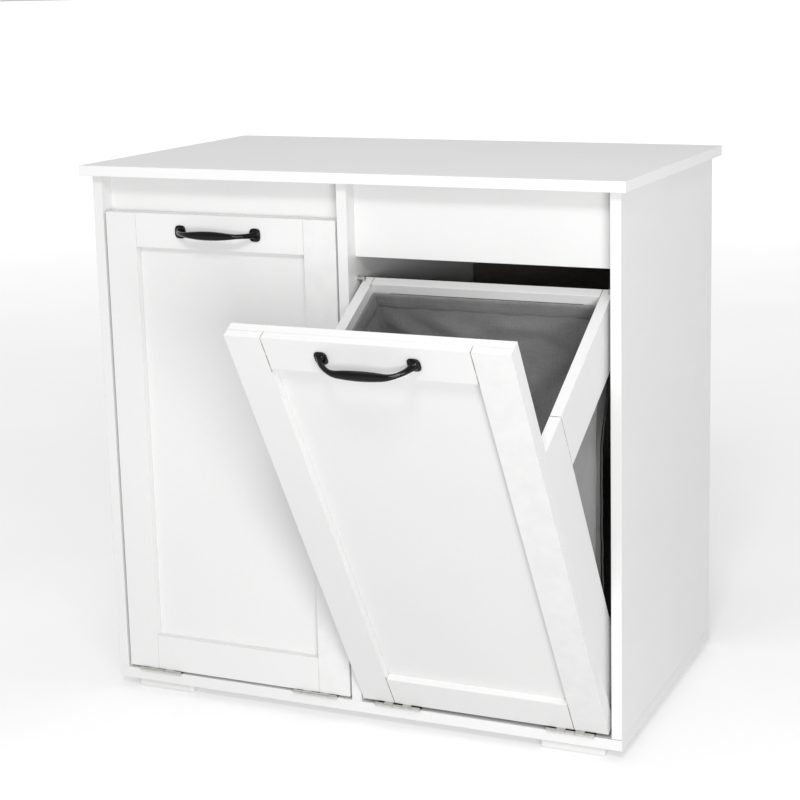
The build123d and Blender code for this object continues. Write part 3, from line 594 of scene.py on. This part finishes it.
def hang(body, frames):
    """Hangs the empty bag by its hem in the frame as it stands at rest, and returns its
    vertices on the closed unit."""
    verts, faces, uvs, n = bag_grid()
    rnd = random.Random(11 if body == "tilt_right" else 5)
    co = np.array(verts)
    jitter = np.array([[rnd.uniform(-1, 1) for _ in range(3)] for _ in range(len(co))])
    free = co[:, 2] < TOP - 0.03
    co[free] += jitter[free] * 0.0007
    me = bpy.data.meshes.new("cloth_tmp")
    me.from_pydata([tuple(v) for v in co], [], faces)
    o = bpy.data.objects.new("cloth_tmp", me)
    bpy.context.scene.collection.objects.link(o)
    pin = o.vertex_groups.new(name="pin")
    held = [i for i in range(len(co)) if co[i, 2] > TOP - 0.0225]
    pin.add(held, 1.0, "REPLACE")
    t = math.radians(OPEN_DEG[body])
    scene = bpy.context.scene
    old = tuple(scene.gravity)
    scene.gravity = (0.0, -9.81 * math.sin(t), -9.81 * math.cos(t))
    boxes = [
        collider("c_door", -0.1965, 0.1965, 0.001, 0.026, 0.037, 0.774),
        collider("c_post_l", -0.193, -0.177, 0.026, 0.101, 0.060, 0.577),
        collider("c_post_r", 0.177, 0.193, 0.026, 0.101, 0.060, 0.577),
        collider("c_rail_l", -0.193, -0.177, 0.101, 0.360, 0.488, 0.5395),
        collider("c_rail_r", 0.177, 0.193, 0.101, 0.360, 0.488, 0.5395),
        collider("c_rail_b", -0.177, 0.177, 0.3425, 0.360, 0.488, 0.5395),
    ]
    m = o.modifiers.new("cloth", "CLOTH")
    st = m.settings
    st.quality = 7
    st.mass = 0.25
    st.tension_stiffness = 28
    st.compression_stiffness = 28
    st.shear_stiffness = 6
    st.bending_stiffness = 0.9
    st.tension_damping = 8
    st.compression_damping = 8
    st.shear_damping = 6
    st.bending_damping = 0.8
    st.air_damping = 2.2
    st.vertex_group_mass = "pin"
    st.pin_stiffness = 3
    m.collision_settings.use_collision = True
    m.collision_settings.distance_min = 0.0015
    m.collision_settings.collision_quality = 3
    m.collision_settings.use_self_collision = False
    m.point_cache.frame_start, m.point_cache.frame_end = 1, frames
    for f in range(1, frames + 1):
        scene.frame_set(f)
    dg = bpy.context.evaluated_depsgraph_get()
    ev = o.evaluated_get(dg)
    out = np.array([tuple(v.co) for v in ev.data.vertices])
    for b in boxes + [o]:
        bpy.data.objects.remove(b)
    scene.gravity = old
    scene.frame_set(1)
    return out, faces, uvs, n


def relax(co, faces, keep, rounds, amount):
    """A little Laplacian smoothing of the vertices not in keep."""
    a = np.array([(f[i], f[(i + 1) % 4]) for f in faces for i in range(4)])
    for _ in range(rounds):
        s = np.zeros_like(co)
        c = np.zeros(len(co))
        np.add.at(s, a[:, 0], co[a[:, 1]])
        np.add.at(c, a[:, 0], 1)
        np.add.at(s, a[:, 1], co[a[:, 0]])
        np.add.at(c, a[:, 1], 1)
        avg = s / c[:, None]
        move = (avg - co) * amount
        move[keep] = 0
        co = co + move
    return co


REAR_FOLDS = [   # x0, depth0, x1, depth1, half width, height into the bag (metres)
    (-0.168, 0.030, -0.050, 0.150, 0.013, 0.0075), (-0.140, 0.028, 0.030, 0.105, 0.014, 0.0036),
    (0.172, 0.030, 0.030, 0.170, 0.018, 0.0052), (0.080, 0.046, -0.050, 0.075, 0.010, 0.0024),
    (0.165, 0.110, 0.070, 0.300, 0.020, -0.0055), (-0.155, 0.150, -0.010, 0.340, 0.022, -0.0065),
    (0.020, 0.120, 0.110, 0.210, 0.016, 0.0030), (-0.070, 0.210, -0.050, 0.430, 0.018, 0.0045), (0.090, 0.240, 0.070, 0.430, 0.020, -0.0050),
    (0.000, 0.060, 0.150, 0.095, 0.010, -0.0020),
]
SIDE_FOLDS = [   # y from the front wall, depth, ...
    (0.285, 0.030, 0.150, 0.190, 0.015, 0.0050), (0.030, 0.060, 0.190, 0.210, 0.018, -0.0045),
    (0.250, 0.150, 0.140, 0.360, 0.018, 0.0055), (0.110, 0.100, 0.060, 0.330, 0.016, 0.0040), (0.200, 0.230, 0.170, 0.450, 0.017, -0.0045),
]


def fold_height(folds, a, v):
    """Sum of soft folds at a point of a wall: each is a ridge along a line, fading at its ends."""
    h = 0.0
    for x0, v0, x1, v1, wide, amp in folds:
        dx, dv = x1 - x0, v1 - v0
        L2 = dx * dx + dv * dv
        t = ((a - x0) * dx + (v - v0) * dv) / L2
        off = ((a - x0) * dv - (v - v0) * dx) / math.sqrt(L2)
        bend = 0.006 * math.sin(3.1 * t + x0 * 40)
        end = math.exp(-((max(0.0, -t) + max(0.0, t - 1)) * math.sqrt(L2) / 0.035) ** 2) * (0.35 + 0.65 * math.sin(math.pi * min(max(t, 0), 1)) ** 0.6)
        q = (off - bend) / wide
        h += amp * end * (math.exp(-q * q) - 0.35 * math.exp(-((q - 1.6) / 1.3) ** 2))
    return h


def add_folds(co, n):
    """Diagonal and hanging folds in the rear and side walls, none at the pinned rim or in the seams."""
    for k in range(3, NZ + 1):
        v = (TOP - BOTTOM) * k / NZ
        top = smoothstep((v - 0.022) / 0.03)
        low = 1 - smoothstep((v - 0.40) / 0.08)
        for j in range(n):
            i = k * n + j
            if NX + NY < j < 2 * NX + NY:                       # rear wall, right to left
                x = HALF_X - 2 * HALF_X * (j - NX - NY) / NX
                edge = smoothstep((HALF_X - abs(x)) / 0.02)
                h = fold_height(REAR_FOLDS, x, v)
                co[i, 1] -= (1.7 * h if h > 0 else h) * top * low * edge
            elif NX < j < NX + NY or j > 2 * NX + NY:
                right = j < NX + NY
                a = (Y1 - Y0) * ((j - NX) if right else (2 * NX + 2 * NY - j)) / NY
                edge = smoothstep(min(a, (Y1 - Y0) - a) / 0.02)
                h = fold_height(SIDE_FOLDS, a, v) * top * low * edge * (0.35 if right else 1.0)
                co[i, 0] += -h if right else h
    return co


def bag(body):
    s = SIDE[body]
    frames = 90 if body == "tilt_right" else 45
    co, faces, uvs, n = hang(body, frames)
    print("bag", s, "lowest", co[:, 2].min(), "y", co[:, 1].min(), co[:, 1].max(), "x", co[:, 0].min(), co[:, 0].max())
    corner_cols = [0, NX, NX + NY, 2 * NX + NY]
    keep = np.zeros(len(co), bool)
    keep[: 3 * n] = True
    for k in range(NZ + 1):
        for c in corner_cols:
            keep[k * n + c] = True
    co = relax(co, faces, keep, 3, 0.5)
    cut = np.array(bag_grid()[0])[: len(co)]
    deep = np.clip(((TOP - cut[:, 2]) - 0.07) / 0.15, 0, 1)
    stiff = (0.82 * (1 - deep * deep * (3 - 2 * deep)))[:, None]
    co = co * (1 - stiff) + cut * stiff
    co = add_folds(co, n)
    co[:, 0] = np.where(co[:, 2] > 0.48, np.clip(co[:, 0], -0.1763, 0.1763), co[:, 0])
    co[:, 2] = np.maximum(co[:, 2], 0.048)
    M = UNIT[body]
    world = [M @ Vector(p) for p in co]
    o = new_mesh(f"bag_cloth_{s}", world, faces, mat_fabric, True, uvs)
    sub = o.modifiers.new("smooth", "SUBSURF")
    sub.levels = sub.render_levels = 1
    sol = o.modifiers.new("cloth_thickness", "SOLIDIFY")
    sol.thickness = 0.0009
    sol.offset = 0
    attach(o, body)
    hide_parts(f"bag_{s}")

    # folded hem: a band turned over the top edge and sewn down inside
    rnd = random.Random(3)
    per = co[:n, :2]
    mid = np.array([0.0, (Y0 + Y1) / 2])
    band = 0.0215
    section = [(0.0001, -0.0015), (-0.0010, 0.0003), (-0.0012, 0.0011), (-0.0004, 0.0019), (0.0010, 0.0020), (0.0022, 0.0010),
               (0.0024, -0.0040), (0.0021, -0.0090), (0.0023, -0.0150), (0.0021, -0.0190), (0.0022, -band + 0.0006),
               (0.0017, -band), (0.0011, -band + 0.0006), (0.0009, -0.0120)]
    fine = []
    for j in range(n):
        for q in range(3):
            t = q / 3
            fine.append(per[j] * (1 - t) + per[(j + 1) % n] * t)
    fine = np.array(fine)
    N = len(fine)

    def inward(j):
        """Inward direction at a point of the rim; mitred at the corners."""
        x, y = fine[j]
        v = np.zeros(2)
        if abs(x) > HALF_X - 1e-6:
            v[0] = -np.sign(x)
        if y < Y0 + 1e-6:
            v[1] = 1
        if y > Y1 - 1e-6:
            v[1] = -1
        return v

    rings = []
    for j in range(N):
        d = inward(j)
        wob = 0.00035 * math.sin(j * 0.37) + 0.0003 * math.sin(j * 0.113 + 1.3) + rnd.uniform(-1, 1) * 0.00007
        low = 0.0005 * math.sin(j * 0.091 + 0.5) + 0.0003 * math.sin(j * 0.29)
        ring = []
        for i, (off, up) in enumerate(section):
            deep = max(0.0, -up / band)
            o2 = off + (wob * (0.35 + deep) if 5 <= i <= 11 else 0.0)
            u2 = up + (low * deep if i >= 6 else 0.2 * low)
            ring.append(M @ Vector((fine[j][0] + d[0] * o2, fine[j][1] + d[1] * o2, TOP - 0.0012 + u2)))
        rings.append(ring)
    k = len(section)
    hv = [p for r in rings for p in r]
    hf, huv = [], []
    cum = [0.0]
    for j in range(N):
        cum.append(cum[-1] + float(np.linalg.norm(fine[(j + 1) % N] - fine[j])))
    sec = [0.0]
    for i in range(k):
        a, b = section[i], section[(i + 1) % k]
        sec.append(sec[-1] + math.hypot(a[0] - b[0], a[1] - b[1]))
    for j in range(N):
        q = (j + 1) % N
        for i in range(k):
            h = (i + 1) % k
            hf.append((j * k + i, j * k + h, q * k + h, q * k + i))
            huv += [(cum[j], sec[i]), (cum[j], sec[i + 1]), (cum[j + 1], sec[i + 1]), (cum[j + 1], sec[i])]
    hem = new_mesh(f"bag_hem_{s}", hv, hf, mat_hem, True, huv)
    bm = bmesh.new()
    bm.from_mesh(hem.data)
    bmesh.ops.recalc_face_normals(bm, faces=bm.faces)
    bm.to_mesh(hem.data)
    bm.free()
    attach(hem, body)

    # two rows of stitches along the hem
    sv, sf = [], []

    def stitch(p, q, r=0.00032, lift=None):
        """A short rounded thread from p to q."""
        axis = (q - p)
        L = axis.length
        axis.normalize()
        side = axis.orthogonal().normalized()
        up = axis.cross(side)
        base = len(sv)
        prof = [(0.0, 0.25), (0.18, 0.85), (0.5, 1.0), (0.82, 0.85), (1.0, 0.25)]
        for t, w in prof:
            for a in range(6):
                an = math.pi * a / 3
                sv.append(p + axis * (L * t) + (side * math.cos(an) + up * math.sin(an)) * (r * w))
        for i in range(len(prof) - 1):
            for a in range(6):
                b = (a + 1) % 6
                sf.append((base + i * 6 + a, base + i * 6 + b, base + (i + 1) * 6 + b, base + (i + 1) * 6 + a))
        sf.append(tuple(base + a for a in range(5, -1, -1)))
        sf.append(tuple(base + (len(prof) - 1) * 6 + a for a in range(6)))

    total = cum[-1]
    step = 0.0042
    for down in (0.0150, 0.0183):
        count = int(total / step)
        for c in range(count):
            a0 = total * c / count
            pts = []
            for a1 in (a0, a0 + step * 0.72):
                a1 %= total
                j = min(int(np.searchsorted(cum, a1, side="right")) - 1, N - 1)
                t = (a1 - cum[j]) / max(cum[j + 1] - cum[j], 1e-9)
                p2 = fine[j] * (1 - t) + fine[(j + 1) % N] * t
                d = inward(j) if t < 0.5 else inward((j + 1) % N)
                wob = 0.00035 * math.sin(j * 0.37) + 0.0003 * math.sin(j * 0.113 + 1.3)
                deep = down / band
                off = 0.0023 + wob * (0.35 + deep)
                low = (0.0005 * math.sin(j * 0.091 + 0.5) + 0.0003 * math.sin(j * 0.29)) * deep
                pts.append(M @ Vector((p2[0] + d[0] * off, p2[1] + d[1] * off, TOP - 0.0012 - down + low)))
            if (pts[0] - pts[1]).length > 0.0008:
                stitch(pts[0], pts[1])
    threads = new_mesh(f"bag_stitches_{s}", sv, sf, mat_thread)
    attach(threads, body)

    # bound seams where the walls meet, and round the bottom
    def seam(path, r):
        rings2 = []
        m = len(path)
        for i, p in enumerate(path):
            t = (path[min(i + 1, m - 1)] - path[max(i - 1, 0)]).normalized()
            ref = Vector((0.3, 0.8, 0.1)).normalized() if abs(t.z) > 0.7 else Vector((0, 0, 1))
            a = t.cross(ref).normalized()
            b = t.cross(a).normalized()
            rings2.append([p + (a * math.cos(2 * math.pi * q / 8) + b * math.sin(2 * math.pi * q / 8)) * r for q in range(8)])
        return sweep(rings2)

    allv, allf = [], []
    for c in corner_cols:
        path = [M @ Vector(co[k2 * n + c]) for k2 in range(1, NZ + 1)]
        v, f = seam(path, 0.0011)
        base = len(allv)
        allv += v
        allf += [tuple(base + i for i in fa) for fa in f]
    path = [M @ Vector(co[NZ * n + j]) for j in range(n)] + [M @ Vector(co[NZ * n])]
    v, f = seam(path, 0.0011)
    base = len(allv)
    allv += v
    allf += [tuple(base + i for i in fa) for fa in f]
    seams = new_mesh(f"bag_seams_{s}", allv, allf, mat_thread)
    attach(seams, body)

    return o


for body in UNIT:
    bag(body)


# ------------------------------------------------------------------ stage, light, camera
def floor():
    m = Nodes("pale_floor")
    c = m.coords()
    f = m.noise(c, 2.5, 4, 0.5)
    color = m.ramp(f, [(0.3, (0.90, 0.90, 0.90)), (0.7, (0.93, 0.93, 0.93))])
    m.bsdf.inputs["Emission Color"].default_value = (1, 1, 1, 1)
    far = m.new("ShaderNodeVectorMath", operation="LENGTH")
    m.link(c, far.inputs[0])
    m.link(m.range(far.outputs["Value"], 1.2, 7.0, 0.15, 0.55), m.bsdf.inputs["Emission Strength"])
    m.bsdf.inputs["Specular IOR Level"].default_value = 0.2
    mat = m.finish(color, m.range(f, 0.3, 0.7, 0.7, 0.8), m.bump(m.noise(c, 300.0, 2, 0.5), 0.05, 0.0002))
    steps, rad = 96, 90.0
    verts = [(0.0, 0.0, -0.0002)] + [(rad * math.cos(2 * math.pi * i / steps), rad * math.sin(2 * math.pi * i / steps), -0.0002) for i in range(steps)]
    faces = [(0, 1 + i, 1 + (i + 1) % steps) for i in range(steps)]
    o = new_mesh("floor", verts, faces, mat, False)
    o.visible_diffuse = False                 # the white floor doesn't light the object from below


floor()

world = bpy.data.worlds.new("studio")
bpy.context.scene.world = world
world.use_nodes = True
bg = world.node_tree.nodes.get("Background")
bg.inputs["Color"].default_value = (1, 1, 1, 1)
bg.inputs["Strength"].default_value = 0.61


def softbox(name, loc, target, size, power):
    li = bpy.data.lights.new(name, "AREA")
    li.shape = "RECTANGLE"
    li.size, li.size_y = size
    li.energy = power
    o = bpy.data.objects.new(name, li)
    o.location = loc
    o.rotation_mode = "QUATERNION"
    o.rotation_quaternion = (Vector(target) - Vector(loc)).to_track_quat("-Z", "Y")
    bpy.context.scene.collection.objects.link(o)


softbox("key", (1.00, -2.80, 2.70), (0, -0.1, 0.45), (0.6, 0.6), 34)
softbox("fill", (2.05, -2.85, 0.78), (0.2, 0.0, 0.60), (1.2, 0.9), 59)
softbox("overhead", (-0.3, 0.2, 3.2), (-0.05, 0.2, 0.8), (1.8, 1.8), 9)

cam = bpy.data.cameras.new("camera")
cam_o = bpy.data.objects.new("camera", cam)
bpy.context.scene.collection.objects.link(cam_o)
PITCH, ROLL, YAW = -0.192797428349461, 0.017161171933003653, 0.38904455891383294
cp, sp, cr, sr, cy_, sy_ = math.cos(PITCH), math.sin(PITCH), math.cos(ROLL), math.sin(ROLL), math.cos(YAW), math.sin(YAW)
Rz = Matrix(((cy_, -sy_, 0), (sy_, cy_, 0), (0, 0, 1)))
Rx = Matrix(((1, 0, 0), (0, cp, -sp), (0, sp, cp)))
Ry = Matrix(((cr, 0, sr), (0, 1, 0), (-sr, 0, cr)))
R = Rz @ Rx @ Ry
right, forward, up = R.col[0], R.col[1], R.col[2]
look = Matrix((right, up, -forward)).transposed()
cam_o.matrix_world = Matrix.Translation((1.1638330328343438, FRONT - 2.315404960, 1.1284089914401567)) @ look.to_4x4()
cam.sensor_width = 36.0
cam.lens = 1792.006688927044 / 800 * 36
cam.shift_x = -0.1
cam.shift_y = -0.1
cam.clip_start, cam.clip_end = 0.05, 300
bpy.context.scene.camera = cam_o

bpy.context.scene.view_settings.view_transform = "Standard"
bpy.context.scene.view_settings.look = "None"
